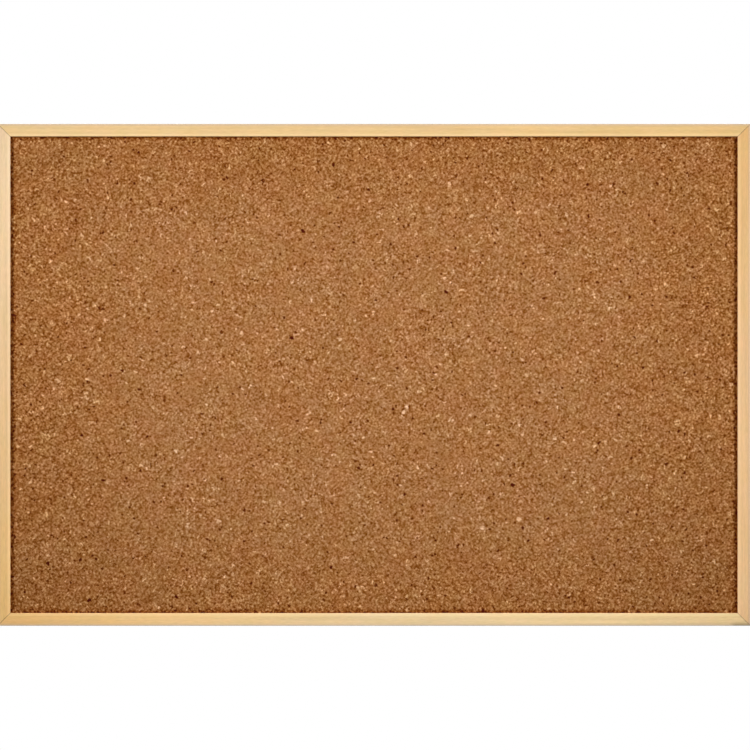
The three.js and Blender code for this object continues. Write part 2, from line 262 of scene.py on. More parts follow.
class Nodes:
    """A node tree being written: every node comes from node()."""

    def __init__(self, tree):
        self.tree = tree
        tree.nodes.clear()

    def node(self, kind, options=None, inputs=None):
        """A node with its options and inputs set. Stops are those of a colour ramp."""
        made = self.tree.nodes.new(kind)
        for name, value in (options or {}).items():
            if name == "stops":
                self.set_stops(made.color_ramp, value)
            else:
                setattr(made, name, value)
        for key, value in (inputs or {}).items():
            self.feed(made.inputs[key], value)
        return made

    def set_stops(self, ramp, stops):
        while len(ramp.elements) < len(stops):
            ramp.elements.new(1.0)
        for element, (place, colour) in zip(ramp.elements, stops):
            element.position = place
            element.color = colour

    def feed(self, socket, value):
        """Gives a socket a value, or links it to the socket that carries one."""
        if isinstance(value, Field):
            value = value.socket
        if isinstance(value, bpy.types.NodeSocket):
            self.tree.links.new(socket, value)
        else:
            socket.default_value = value

    def math(self, operation, *values):
        made = self.node("ShaderNodeMath", {"operation": operation}, dict(enumerate(values)))
        return Field(self, made.outputs[0])

    def split(self, vector):
        made = self.node("ShaderNodeSeparateXYZ", {}, {"Vector": vector})
        return [Field(self, output) for output in made.outputs]

    def mixed(self, factor, first, second, blend="MIX"):
        """Two colours mixed by a factor. Its colour sockets are the seventh and eighth."""
        options = {"data_type": "RGBA", "blend_type": blend}
        made = self.node("ShaderNodeMix", options, {0: factor, 6: first, 7: second})
        return made.outputs[2]

    def scaled(self, colour, field):
        """A colour, or a link that carries one, times a number."""
        if isinstance(colour, tuple):
            colour = colour[:3]
        made = self.node("ShaderNodeVectorMath", {"operation": "SCALE"}, {0: colour, "Scale": field})
        return made.outputs["Vector"]

    def noise(self, place, detail=2.0, roughness=0.5, distortion=0.0):
        """Smooth noise with lumps one unit wide."""
        sockets = {"Detail": detail, "Roughness": roughness, "Distortion": distortion}
        made = self.node("ShaderNodeTexNoise", {}, {"Vector": place, "Scale": 1.0, **sockets})
        return Field(self, made.outputs["Fac"])

    def seen_by(self, *kinds):
        """1 for rays of the named kinds, two or more, and 0 for all others."""
        rays = self.node("ShaderNodeLightPath").outputs
        seen = rays[f"Is {kinds[0]} Ray"]
        for kind in kinds[1:]:
            seen = self.math("MAXIMUM", seen, rays[f"Is {kind} Ray"])
        return seen

    def cells(self, place, feature="F1"):
        """Cells one unit wide: their distance, and for F1 three random numbers for each cell."""
        made = self.node("ShaderNodeTexVoronoi", {"feature": feature}, {"Vector": place, "Scale": 1.0})
        distance = Field(self, made.outputs["Distance"])
        if feature != "F1":
            return distance
        return distance, self.split(made.outputs["Color"])


class Finish(Nodes):
    """A material under construction, on a surface measured in the row frame."""

    def __init__(self, name, **constants):
        self.material = bpy.data.materials.new(name)
        self.material.use_nodes = True
        super().__init__(self.material.node_tree)
        sockets = {}
        for key, value in constants.items():
            sockets[key.replace("_", " ").title().replace("Ior", "IOR")] = value
        self.shader = self.node("ShaderNodeBsdfPrincipled", {}, sockets)
        surface = {"Surface": self.shader.outputs["BSDF"]}
        self.output = self.node("ShaderNodeOutputMaterial", {}, surface)
        self.place = self.node("ShaderNodeTexCoord").outputs["Object"]

    def grid(self, *steps, shift=(0.0, 0.0, 0.0)):
        """Places counted in steps along X, Y and Z, so that a texture of scale 1 has that size."""
        sockets = {"Vector": self.place, "Scale": [1.0 / step for step in steps], "Location": shift}
        return self.node("ShaderNodeMapping", {"vector_type": "POINT"}, sockets).outputs["Vector"]

    def even_grid(self, step, shift=(0.0, 0.0, 0.0)):
        return self.grid(step, step, step, shift=shift)

    def warped(self, grid, push):
        """A grid pushed about by up to push steps, so that cells get uneven outlines."""
        noise = self.node("ShaderNodeTexNoise", {}, {"Vector": grid, "Scale": 0.7, "Detail": 1.0})
        factors = {0: noise.outputs["Color"], 1: [push] * 3, 2: grid}
        return self.node("ShaderNodeVectorMath", {"operation": "MULTIPLY_ADD"}, factors).outputs[0]

    def slanted(self, grid, turns, long=1.0):
        """A grid turned about the three axes and drawn out along its own first one."""
        sockets = {"Vector": grid, "Rotation": turns, "Scale": (long, 1.0, 1.0)}
        return self.node("ShaderNodeMapping", {"vector_type": "TEXTURE"}, sockets).outputs["Vector"]

    def flecks(self, width, turn, shift):
        """Cells drawn out along one slant, each from -1 (dark) to 1 (pale), most near 0."""
        grid = self.even_grid(width, shift=(shift, 2.0 * shift, 1.0))
        long = self.warped(self.slanted(grid, (0.0, turn, 0.0), long=1.9), 1.2)
        tone = self.cells(long)[1][0] * 2.0 - 1.0
        inner = self.cells(long, "DISTANCE_TO_EDGE").ramp(0.0, 0.35)
        return tone * (tone * tone * 0.8 + 0.2) * inner

    def scattered(self, grid, portion):
        """1 within a portion of the grid's cells and 0 elsewhere, soft at their rims."""
        chosen = self.cells(grid)[1][1] > 1.0 - portion
        return chosen * self.cells(grid, "DISTANCE_TO_EDGE").ramp(0.02, 0.14)

    def hue(self, grid, pair, detail=3.0):
        """A tint that wanders between the two of a pair, over patches one unit wide."""
        part = self.noise(grid, detail=detail, roughness=0.6)
        return self.mixed(part.ramp(0.3, 0.7), *pair)

    def times(self, first, second):
        """The product of two colours."""
        return self.mixed(1.0, first, second, "MULTIPLY")

    def colour(self, value):
        self.feed(self.shader.inputs["Base Color"], value)

    def rough(self, value):
        self.feed(self.shader.inputs["Roughness"], value)

    def bump(self, height, distance, strength=1.0):
        sockets = {"Height": height, "Distance": distance, "Strength": strength}
        made = self.node("ShaderNodeBump", {}, sockets)
        self.feed(self.shader.inputs["Normal"], made.outputs["Normal"])


def tone_stops(shown, reach, falls, rises, count=9):
    """Ramp stops for a colour that gets up to reach levels darker or paler.

    Red, green and blue each follow by their share in falls, and in rises.
    """
    stops = []
    for i in range(count):
        part = i / (count - 1)
        change = (2 * part - 1) * reach / LEVELS
        follow = falls if change < 0.0 else rises
        levels = [min(max(level + change * k, 0.01), 1.0) for level, k in zip(shown, follow)]
        stops.append((part, linear(levels)))
    return stops


CORK_REACH = 90.0  # levels that the cork's ramp spans on either side of its mean
CORK_FALLS = (0.97, 1.05, 1.25)  # shares by which red, green and blue follow a darker tone
CORK_RISES = (0.95, 1.04, 1.09)  # and a paler one
CORK_REDS = ((0.986, 1.03, 1.05, 1.0), (1.014, 0.97, 0.95, 1.0))  # less red, redder
CORK_YELLOWS = ((1.0, 1.0, 1.07, 1.0), (1.0, 1.0, 0.93, 1.0))  # less yellow, yellower
CORK_BROWN_BAND = (0.95, 0.885, 0.75, 1.0)  # tint of the browner band
BIT_SIZE = 0.75  # width of the small bark bits, in granules
CHUNK_SIZE = 1.25  # width of the large bark chunks, in granules
MEAN_RIM = 0.44  # mean distance from a granule's middle, in granules
PORE_COVER = 0.1  # share of the cork that the pores take
EVEN_CONTRAST = 0.98  # contrast of the mottling away from the rails
SIDE_MARGIN = 0.78  # a distance from a side rail counts by this share for the dark margin
SIDE_BAND = 1.6  # how many times wider the browner band is beside the side rails


def cork_finish(cork):
    """Agglomerated cork: granules, crumbs, slanting flecks, dark seams, bark and pale granules, with
    painted shade beside the rails and a darker, browner band towards them.
    """
    f = Finish("cork", roughness=0.9, specular_ior_level=0.1)
    granules = f.warped(f.even_grid(cork.granule), cork.uneven)
    rim, chance = f.cells(granules)
    gap = f.cells(granules, "DISTANCE_TO_EDGE")
    seams = gap.ramp(0.09, 0.0)
    pale = (chance[1] > 1.0 - cork.pale_share) * gap.ramp(0.02, 0.16)
    crumbs = f.noise(f.slanted(f.even_grid(cork.crumb), (0.6, 0.5, 0.4)), detail=4.0, roughness=0.42)
    flecks = f.flecks(cork.fleck, 0.7, 3.0) + f.flecks(cork.fleck, -0.8, 7.0)
    pores = f.noise(f.even_grid(cork.pore), detail=2.0, roughness=0.6).ramp(0.56, 0.64)
    broad = f.noise(f.even_grid(cork.broad), detail=2.0)

    bits = f.even_grid(BIT_SIZE * cork.granule, shift=(4.0, 1.0, 9.0))
    chunks = f.warped(f.even_grid(CHUNK_SIZE * cork.granule, shift=(6.0, 3.0, 5.0)), 0.8)
    chunk = f.scattered(chunks, cork.chunk_share) * cork.chunk_tone
    bark = f.scattered(bits, cork.bark_share).math("MAXIMUM", chunk)

    x, _, z = f.split(f.place)
    from_rail = ((board_high.x - abs(x)) / SIDE_BAND).math("MINIMUM", board_high.z - abs(z))
    near_rail = from_rail.ramp(cork.brown_band_width, RAIL_FACE)
    # Painted shade beside the rails, where the lips shade the cork; wider beside the side rails and
    # mottled by the crumbs.
    sideways = (board_high.x - RAIL_FACE - abs(x)) * SIDE_MARGIN
    inside = sideways.math("MINIMUM", board_high.z - RAIL_FACE - abs(z))
    painted_shade = inside.ramp(cork.painted_shade, 0.15 * cork.painted_shade) * (1.8 - crumbs * 1.6)

    patches = f.noise(f.even_grid(cork.patch, shift=(2.0, 7.0, 4.0)), detail=2.0) - 0.5
    contrast = patches * cork.patch_tone + near_rail * cork.rim_contrast + EVEN_CONTRAST
    mottle = (
        (crumbs - 0.5) * cork.crumb_tone
        + flecks * cork.fleck_tone
        + (chance[0] - 0.5) * cork.body_tone
    )
    level = (
        mottle * contrast
        + (MEAN_RIM - rim) * cork.granule_tone
        + (broad - 0.5) * cork.broad_tone
        - (pores - PORE_COVER) * cork.pore_tone
        - seams * cork.seam_tone
        + pale * cork.pale_tone
        - bark * cork.bark_tone
        - painted_shade * cork.painted_shade_tone
    )
    stops = tone_stops(cork.colour, CORK_REACH, CORK_FALLS, CORK_RISES)
    ramp = f.node("ShaderNodeValToRGB", {"stops": stops}, {"Fac": level / (2 * CORK_REACH) + 0.5})
    red = f.hue(f.even_grid(cork.red_patch, shift=(5.0, 2.0, 8.0)), CORK_REDS)
    yellow = f.hue(f.even_grid(cork.yellow_patch, shift=(1.0, 6.0, 3.0)), CORK_YELLOWS, detail=2.0)
    # The cork is tinted darker and browner towards the rails.
    brown_band = f.mixed(near_rail, WHITE, CORK_BROWN_BAND)
    f.colour(f.times(ramp.outputs["Color"], f.times(f.times(red, yellow), brown_band)))
    f.bump(crumbs * 0.7 - rim * 0.5 - pores * 0.25 - seams * 0.4 - bark * 0.4, 0.25 * MM, 0.6)
    return f.material


PINE_REDS = ((0.98, 1.004, 1.0, 1.0), (1.02, 0.996, 1.0, 1.0))  # less red, redder
PINE_YELLOWS = ((0.99, 0.99, 0.95, 1.0), (1.01, 1.01, 1.05, 1.0))  # yellower, paler
THREAD, PORE, CLOUD = 0.22 * MM, 0.8 * MM, 14.0 * MM  # widths of details of the grain
TONE_PLACES = (0.03, 0.5, 0.97)  # where a rail has its three tones, as shares of its run


def pine_finish(name, along, tones, shift_along, pine):
    """Clear planed pine with the grain along one axis, a painted highlight along the inner edge, a
    painted sheen on the outer edge, a darker lower right corner and dark mitre lines.
    """
    f = Finish(f"pine_{name}", specular_ior_level=0.4)
    x, y, z = f.split(f.place)
    half_width, half_height = board_high.x, board_high.z
    run, across = (x, z) if along == 0 else (z, x)
    half_run, half_across = (half_width, half_height) if along == 0 else (half_height, half_width)
    shift = [0.0, 0.0, 0.0]
    shift[along] = shift_along

    def stretched(step, stretch):
        """A grid whose steps are longer along the grain."""
        steps = [step, step, step]
        steps[along] = step * stretch
        return f.grid(*steps, shift=shift)

    streaks = f.noise(stretched(pine.streak, 60.0), detail=3.0, roughness=0.55, distortion=0.2)
    fibres = f.noise(stretched(pine.fibre, 12.0), detail=2.0)
    threads = f.noise(stretched(THREAD, 25.0), detail=1.0)
    clouds = f.noise(stretched(CLOUD, 8.0), detail=2.0)
    pores = f.noise(stretched(PORE, 2.5), detail=1.0).ramp(0.72, 0.78)
    change = (
        (streaks - 0.5) * pine.streak_tone
        + (fibres - 0.5) * pine.fibre_tone
        + (clouds - 0.5) * (0.6 * pine.streak_tone)
        + (threads - 0.5) * 0.14
        - pores * 0.1
    )

    inward = half_across - abs(across)
    # Painted highlight: the inner edge beside the cork is set paler and a little whiter, as if it
    # caught the light.
    edge = inward.ramp(RAIL_FACE - 1.3 * pine.highlit_edge, RAIL_FACE - 0.6 * pine.highlit_edge)
    highlit = edge * y.ramp(CORK_FRONT + 0.4 * MM, CORK_FRONT)
    middle, half_depth = (board_low.y + RAIL_BACK) / 2.0, (RAIL_BACK - board_low.y) / 2.0
    rounded = abs(y - middle).ramp(half_depth - 1.8 * MM, half_depth - 0.4 * MM)
    # Painted sheen along the outer edge, greying it as if it reflected the white surroundings.
    outer = inward.ramp(3.8 * MM, 0.8 * MM) * rounded
    mitre = abs(abs(x) - abs(z) - (half_width - half_height)) / math.sqrt(2.0)
    seam = mitre.ramp(0.5 * pine.mitre_line, 0.15 * pine.mitre_line)
    # The lower edge is darkened near the right corner.
    near_corner = x.ramp(half_width - pine.dark_corner_length, half_width - 0.65 * pine.dark_corner_length)
    near_foot = (z + half_height).ramp(6.5 * MM, -1.5 * MM)
    dark_corner = near_corner * near_foot * (0.48 + clouds * 0.3)

    stops = [(place, linear(shown)) for place, shown in zip(TONE_PLACES, tones)]
    part = run / (2.0 * half_run) + 0.5
    base = f.node("ShaderNodeValToRGB", {"stops": stops}, {"Fac": part}).outputs["Color"]
    red = f.hue(stretched(9.0 * MM, 3.0), PINE_REDS)
    yellow = f.hue(stretched(8.0 * MM, 3.5), PINE_YELLOWS)
    shade = change + 1.0 + highlit * pine.highlit_tone - seam * 0.55
    wood = f.scaled(f.times(base, f.times(red, yellow)), shade)
    wood = f.mixed(highlit * 0.04, wood, WHITE)
    wood = f.mixed(outer * 0.5, wood, linear(pine.sheened))
    f.colour(f.mixed(dark_corner, wood, linear(pine.dark_corner)))
    f.rough(0.52 + (fibres - 0.5) * 0.25)
    f.bump(streaks * 0.4 + fibres * 0.5 + threads * 0.3 - seam * 1.5, 0.06 * MM, 0.6)
    return f.material


def hardboard_finish(back):
    """The screen side of hardboard: a pressed wire pattern on brown fibre."""
    f = Finish("hardboard", specular_ior_level=0.35)
    x, _, z = f.split(f.place)
    turn = 2.0 * math.pi / back.screen
    weave = (x * turn).math("SINE") * (z * turn).math("SINE")
    fibre = f.noise(f.even_grid(2.2 * MM), detail=4.0, roughness=0.65)
    cloud = f.noise(f.even_grid(60 * MM), detail=3.0)
    hair = f.noise(f.grid(5 * MM, 5 * MM, 0.5 * MM), detail=2.0).ramp(0.66, 0.74)
    shade = 1.0 + (fibre - 0.5) * 0.5 + (cloud - 0.5) * 0.3 + weave * 0.1 + hair * 0.25
    f.colour(f.scaled(linear(back.hardboard), shade))
    f.rough(0.62 + (fibre - 0.5) * 0.3)
    f.bump(weave * 0.5 + fibre * 0.5, 0.12 * MM, 0.8)
    return f.material


def softboard_finish(back):
    """Soft fibreboard: pale felted wood fibre."""
    f = Finish("softboard", roughness=0.95, specular_ior_level=0.2)
    felt = f.noise(f.even_grid(1.6 * MM), detail=4.0, roughness=0.7)
    layers = f.noise(f.grid(20 * MM, 1.2 * MM, 20 * MM), detail=2.0)
    f.colour(f.scaled(linear(back.softboard), 1.0 + (felt - 0.5) * 0.5 + (layers - 0.5) * 0.3))
    f.bump(felt, 0.2 * MM, 0.6)
    return f.material


def metal_finish(name, shown, roughness, grain, wear):
    """Sheet or wire steel with fine drawing marks, dull patches and small scratches."""
    f = Finish(name, metallic=1.0)
    marks = f.noise(f.grid(*grain), detail=2.0)
    dull = f.noise(f.even_grid(3.0 * MM), detail=3.0)
    scratch = f.noise(f.grid(0.15 * MM, 0.15 * MM, 4 * MM), detail=1.0).ramp(0.7, 0.76)
    shade = 1.0 + (marks - 0.5) * 0.12 - dull.ramp(0.5, 0.75) * wear
    f.colour(f.scaled(linear(shown), shade))
    f.rough(roughness + (marks - 0.5) * 0.2 + dull.ramp(0.45, 0.75) * 0.18 - scratch * 0.08)
    f.bump(marks + scratch * 0.6, 0.02 * MM, 0.5)
    return f.material


DUST = (0.36, 0.35, 0.33)  # displayed tint of the dust on the pads


def rubber_finish(back):
    """Moulded rubber, slightly dusty."""
    f = Finish("pad_rubber", specular_ior_level=0.4)
    grain = f.noise(f.even_grid(0.35 * MM), detail=3.0)
    dust = f.noise(f.even_grid(2.5 * MM), detail=4.0, roughness=0.7).ramp(0.55, 0.8)
    f.colour(f.mixed(dust * 0.35, linear(back.rubber), linear(DUST)))
    f.rough(0.62 + (grain - 0.5) * 0.2 + dust * 0.2)
    f.bump(grain, 0.05 * MM, 0.6)
    return f.material


def dress(node, finish):
    """Gives a CAD node that stays a better material."""
    slots = frame["nodes"][node].data.materials
    slots.clear()
    slots.append(finish)


def add_piece(name, mesh, finish, node):
    """Shows a mesh in place of a CAD node, riding on that node's body."""
    piece = bpy.data.objects.new(name, mesh)
    bpy.context.scene.collection.objects.link(piece)
    mesh.materials.clear()
    mesh.materials.append(finish)
    bodies = frame["record"]["behaviour"]["bodies"]
    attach(piece, next(body for body, members in bodies.items() if node in members))
    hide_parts(node)
    normals = piece.modifiers.new("even_normals", "WEIGHTED_NORMAL")
    normals.keep_sharp = True


def mesh_of(name, points, faces, smooth=False):
    """A mesh from its points and faces, flat or smooth all over."""
    mesh = bpy.data.meshes.new(name)
    mesh.from_pydata(points, [], faces)
    mesh.polygons.foreach_set("use_smooth", [smooth] * len(mesh.polygons))
    mesh.update()
    return mesh


def softened(node, name, radius, steps=2):
    """A CAD node's own shape with its hard edges rounded."""
    work = bmesh.new()
    work.from_mesh(frame["nodes"][node].data)
    bmesh.ops.remove_doubles(work, verts=work.verts, dist=WELD)
    bmesh.ops.dissolve_limit(work, angle_limit=FLAT, verts=work.verts, edges=work.edges)
    hard = [e for e in work.edges if len(e.link_faces) == 2 and e.calc_face_angle() > SHARP]
    bmesh.ops.bevel(
        work, geom=hard, offset=radius, offset_type="OFFSET", segments=steps, profile=0.5,
        affect="EDGES", clamp_overlap=True,
    )
    mesh = bpy.data.meshes.new(name)
    work.to_mesh(mesh)
    work.free()
    mesh.shade_smooth()
    mesh.set_sharp_from_angle(angle=SHARP)
    return mesh


def turned(name, profile, middle, steps=48):
    """A profile of (radius, y) from axis to axis, turned about the line through middle along Y."""
    angles = [2.0 * math.pi * i / steps for i in range(steps)]
    points, rings = [], []
    for radius, y in profile:
        if radius == 0.0:
            rings.append([len(points)])
            points.append((middle.x, y, middle.z))
            continue
        rings.append(list(range(len(points), len(points) + steps)))
        for a in angles:
            points.append((middle.x + radius * math.cos(a), y, middle.z + radius * math.sin(a)))
    faces = []
    for low, high in zip(rings, rings[1:]):
        for i in range(steps):
            j = (i + 1) % steps
            corners = [low[i % len(low)], low[j % len(low)], high[j % len(high)], high[i % len(high)]]
            faces.append(list(dict.fromkeys(corners)))
    mesh = mesh_of(name, points, faces, smooth=True)
    work = bmesh.new()
    work.from_mesh(mesh)
    bmesh.ops.recalc_face_normals(work, faces=work.faces)
    work.to_mesh(mesh)
    work.free()
    mesh.set_sharp_from_angle(angle=SHARP)
    return mesh


PIT_SHARE = 0.008  # share of the relief's points that are pits
PIT_DEPTH = 2.2  # depth of a pit, in reliefs
TALLEST = 1.6  # the furthest that a point stands out or lies back, in reliefs
JITTER = 0.32  # how far a point is moved sideways, in steps of the mesh


def granular_sheet(low, high, cork):
    """The cork sheet with its granular front: a jittered grid that stands out and lies back."""
    draw = np.random.default_rng(cork.seed)
    columns = round((high.x - low.x) / cork.pitch)
    rows = round((high.z - low.z) / cork.pitch)
    across, up = np.linspace(low.x, high.x, columns + 1), np.linspace(low.z, high.z, rows + 1)
    x, z = np.meshgrid(across, up)
    lumps = draw.normal(size=x.shape)
    broad = draw.normal(size=x.shape)
    for axis in (0, 1):
        broad = (broad + np.roll(broad, 1, axis) + np.roll(broad, -1, axis)) / math.sqrt(3.0)
    pits = draw.random(x.shape) < PIT_SHARE
    bumps = np.clip(0.55 * lumps + 0.45 * broad, -TALLEST, TALLEST)
    heights = cork.relief * (bumps - PIT_DEPTH * pits)
    open_x = board_high.x - RAIL_FACE - cork.pitch
    open_z = board_high.z - RAIL_FACE - cork.pitch
    in_view = (np.abs(x) < open_x) & (np.abs(z) < open_z)
    jitter = JITTER * cork.pitch * in_view
    x = x + jitter * draw.uniform(-1.0, 1.0, x.shape)
    z = z + jitter * draw.uniform(-1.0, 1.0, z.shape)
    y = low.y - heights * in_view
    front = np.stack([x, y, z], axis=-1).reshape(-1, 3)
    index = np.arange(front.shape[0]).reshape(x.shape)
    corners = [index[:-1, :-1], index[:-1, 1:], index[1:, 1:], index[1:, :-1]]
    quads = np.stack(corners, axis=-1).reshape(-1, 4)
    rim = np.concatenate([index[0, :-1], index[:-1, -1], index[-1, :0:-1], index[:0:-1, 0]])
    behind = front[rim].copy()
    behind[:, 1] = high.y
    start = front.shape[0]
    count = len(rim)
    after = np.roll(np.arange(count), -1)
    sides = np.stack([rim, start + np.arange(count), start + after, rim[after]], axis=-1)
    faces = [*quads.tolist(), *sides.tolist(), (start + np.arange(count))[::-1].tolist()]
    mesh = mesh_of("cork_granular", np.concatenate([front, behind]).tolist(), faces)
    smooth = np.zeros(len(faces), bool)
    smooth[: len(quads)] = True
    mesh.polygons.foreach_set("use_smooth", smooth)
    return mesh


class CORKBOARD_OT_cork(bpy.types.Operator):
    """Add the cork sheet with its granular face"""

    bl_idname = "corkboard.cork"
    bl_label = "Cork sheet"

    def execute(self, context):
        cork = settings().cork
        mesh = granular_sheet(*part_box("cork_sheet"), cork)
        add_piece("cork_granular", mesh, cork_finish(cork), "cork_sheet")
        return {"FINISHED"}


class CORKBOARD_OT_rails(bpy.types.Operator):
    """Add the four pine rails"""

    bl_idname = "corkboard.rails"
    bl_label = "Pine rails"

    def execute(self, context):
        pine = settings().pine
        for number, name in enumerate(("top", "bottom", "left", "right")):
            along = 0 if name in ("top", "bottom") else 2
            tones = [getattr(pine, f"{name}_{part}") for part in ("first", "middle", "last")]
            finish = pine_finish(name, along, tones, 3.7 * number, pine)
            mesh = softened(f"{name}_rail", f"{name}_rail_planed", pine.soften)
            add_piece(f"{name}_rail_planed", mesh, finish, f"{name}_rail")
        return {"FINISHED"}


class CORKBOARD_OT_backing(bpy.types.Operator):
    """Finish the softboard core and the hardboard back"""

    bl_idname = "corkboard.backing"
    bl_label = "Backing"

    def execute(self, context):
        back = settings().back
        dress("softboard_core", softboard_finish(back))
        dress("hardboard_back", hardboard_finish(back))
        return {"FINISHED"}


class CORKBOARD_OT_fixings(bpy.types.Operator):
    """Add the V-nails and the flexible points"""

    bl_idname = "corkboard.fixings"
    bl_label = "V-nails and points"

    def execute(self, context):
        back = settings().back
        grain = (0.2 * MM, 4.0 * MM, 0.2 * MM)
        nail = metal_finish("v_nail_steel", back.steel, 0.42, grain, 0.2)
        flex = metal_finish("point_steel", back.steel, 0.36, (1.5 * MM, 1.5 * MM, 0.12 * MM), 0.12)
        for node in sorted(frame["nodes"]):
            if "_v_nail_" in node:
                dress(node, nail)
            elif "_point_" in node:
                mesh = softened(node, f"{node}_blade", 0.5 * back.edge_break)
                add_piece(f"{node}_blade", mesh, flex, node)
        return {"FINISHED"}


def arc(middle, radius, start, end, count):
    """Points of an arc in the X-Z plane, ends included, from start to end in quarter turns."""
    angles = np.linspace(start * math.pi / 2, end * math.pi / 2, count)
    return [(middle[0] + radius * math.cos(a), middle[1] + radius * math.sin(a)) for a in angles]


def ring_line(low, high, back):
    """The middle line of a ring's wire, from one end in the knuckle round to the other."""
    wire = high.y - low.y
    half = (high.x - low.x - wire) / 2.0
    side = high.z - low.z - wire - half
    bend, slit = back.ring_bend, back.ring_slit / 2.0
    right = arc((half - bend, -bend), bend, 1.0, 0.0, 9)
    round_end = arc((0.0, -side), half, 0.0, -2.0, 49)
    left = arc((bend - half, -bend), bend, 2.0, 1.0, 9)
    return [(slit, 0.0), *right, *round_end, *left, (-slit, 0.0)]


def swept_wire(name, line, origin, radius, sides=20):
    """Round wire along a flat line in the X-Z plane, closed at both ends."""
    flat = np.array(line)
    step = np.gradient(flat, axis=0)
    step /= np.linalg.norm(step, axis=1)[:, None]
    points = []
    for (x, z), (dx, dz) in zip(flat, step):
        for i in range(sides):
            a = 2.0 * math.pi * i / sides
            out, back = radius * math.cos(a), radius * math.sin(a)
            points.append((origin.x + x - dz * out, origin.y + back, origin.z + z + dx * out))
    faces = []
    for ring in range(len(flat) - 1):
        for i in range(sides):
            j = (i + 1) % sides
            here, there = ring * sides, (ring + 1) * sides
            faces.append((here + i, here + j, there + j, there + i))
    last = (len(flat) - 1) * sides
    faces.append(list(range(sides))[::-1])
    faces.append([last + i for i in range(sides)])
    mesh = mesh_of(name, points, faces, smooth=True)
    mesh.set_sharp_from_angle(angle=SHARP)
    return mesh


def bar_cutter(middle, top, depth, reach, width, upright):
    """One bar of the cross that cuts a screw's recess: wide at the top, narrow below."""
    points = []
    for y, taper in ((top, 1.0), (top - depth, 0.62)):
        for a, b in ((-1, -1), (1, -1), (1, 1), (-1, 1)):
            across = a * width / 2.0 * (0.7 + 0.3 * taper)
            along = b * reach / 2.0 * taper
            dx, dz = (across, along) if upright else (-along, across)
            points.append((middle.x + dx, y, middle.z + dz))
    sides = [[(i + 1) % 4, (i + 1) % 4 + 4, i + 4, i] for i in range(4)]
    return mesh_of("cutter", points, [[3, 2, 1, 0], [4, 5, 6, 7], *sides])


def screw_mesh(name, low, high, back):
    """A pan-head screw with a cross recess, its point forward of the rail's back."""
    middle = (low + high) / 2.0
    head_radius = (high.x - low.x) / 2.0
    seat = high.y - back.head_height
    core, thread, pitch, broken = 1.0 * MM, 1.5 * MM, 1.2 * MM, 0.1 * MM
    flank, crest, edge = 0.25 * pitch, 0.04 * pitch, 0.35 * back.head_height
    profile = [(0.0, low.y)]
    for turn in range(int((seat - low.y - 2.5 * pitch) / pitch)):
        foot = low.y + pitch * (turn + 1)
        profile += [(core, foot - flank), (thread, foot - crest)]
        profile += [(thread, foot + crest), (core, foot + flank)]
    profile += [(core, seat - 0.5 * pitch), (core, seat), (head_radius - broken, seat)]
    profile += [(head_radius, seat + broken), (head_radius, seat + edge)]
    for i in range(1, 13):
        a = i / 12 * math.pi / 2
        height = seat + edge + (back.head_height - edge) * math.sin(a)
        profile.append((head_radius * math.cos(a), height))
    profile[-1] = (0.0, high.y)
    mesh = turned(name, profile, middle)
    body = bpy.data.objects.new(name, mesh)
    bpy.context.scene.collection.objects.link(body)
    top, depth, reach, width = high.y + 0.2 * MM, 1.4 * MM, 3.3 * MM, 0.75 * MM
    for upright in (True, False):
        bar = bar_cutter(middle, top, depth, reach, width, upright)
        cutter = bpy.data.objects.new("cutter", bar)
        bpy.context.scene.collection.objects.link(cutter)
        cut = body.modifiers.new("recess", "BOOLEAN")
        cut.operation, cut.object, cut.solver = "DIFFERENCE", cutter, "EXACT"
        graph = bpy.context.evaluated_depsgraph_get()
        made = bpy.data.meshes.new_from_object(body.evaluated_get(graph))
        body.modifiers.clear()
        body.data = made
        bpy.data.objects.remove(cutter)
    bpy.data.objects.remove(body)
    made.name = name
    made.shade_smooth()
    made.set_sharp_from_angle(angle=SHARP)
    return made


class CORKBOARD_OT_hangers(bpy.types.Operator):
    """Add the straps, rings and screws of the two hangers"""

    bl_idname = "corkboard.hangers"
    bl_label = "Hangers"

    def execute(self, context):
        back = settings().back
        sheet = metal_finish("strap_zinc", back.zinc, 0.34, (0.15 * MM, 0.15 * MM, 3.0 * MM), 0.14)
        wire = metal_finish("ring_zinc", back.zinc, 0.26, (0.5 * MM, 0.2 * MM, 0.5 * MM), 0.1)
        bolt = metal_finish("screw_zinc", back.zinc, 0.3, (0.4 * MM, 0.2 * MM, 0.4 * MM), 0.12)
        for side in ("left", "right"):
            strap, ring, screw = (f"{side}_hanger_{part}" for part in ("strap", "ring", "screw"))
            mesh = softened(strap, f"{strap}_plate", back.edge_break)
            add_piece(f"{strap}_plate", mesh, sheet, strap)
            low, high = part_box(ring)
            radius = (high.y - low.y) / 2.0
            pivot = Vector(((low.x + high.x) / 2.0, (low.y + high.y) / 2.0, high.z - radius))
            mesh = swept_wire(f"{ring}_wire", ring_line(low, high, back), pivot, radius)
            add_piece(f"{ring}_wire", mesh, wire, ring)
            mesh = screw_mesh(f"{screw}_cross", *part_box(screw), back)
            add_piece(f"{screw}_cross", mesh, bolt, screw)
        return {"FINISHED"}


def pad_mesh(name, low, high):
    """A moulded pad: a broken edge at its foot, a slight cone and a rounded top."""
    radius = (high.x - low.x) / 2.0
    top, fillet, broken = 0.825 * radius, 0.7 * MM, 0.15 * MM
    profile = [(0.0, low.y), (radius - broken, low.y), (radius, low.y + broken)]
    profile.append((radius - 0.05 * MM, low.y + 0.4 * MM))
    for i in range(9):
        a = i / 8 * math.pi / 2
        y = high.y - fillet + fillet * math.sin(a)
        profile.append((top - fillet + fillet * math.cos(a), y))
    profile.append((0.0, high.y))
    return turned(name, profile, (low + high) / 2.0)


class CORKBOARD_OT_pads(bpy.types.Operator):
    """Add the rubber pads"""

    bl_idname = "corkboard.pads"
    bl_label = "Pads"

    def execute(self, context):
        finish = rubber_finish(settings().back)
        for node in sorted(n for n in frame["nodes"] if n.endswith("_pad")):
            mesh = pad_mesh(f"{node}_moulded", *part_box(node))
            add_piece(f"{node}_moulded", mesh, finish, node)
        return {"FINISHED"}


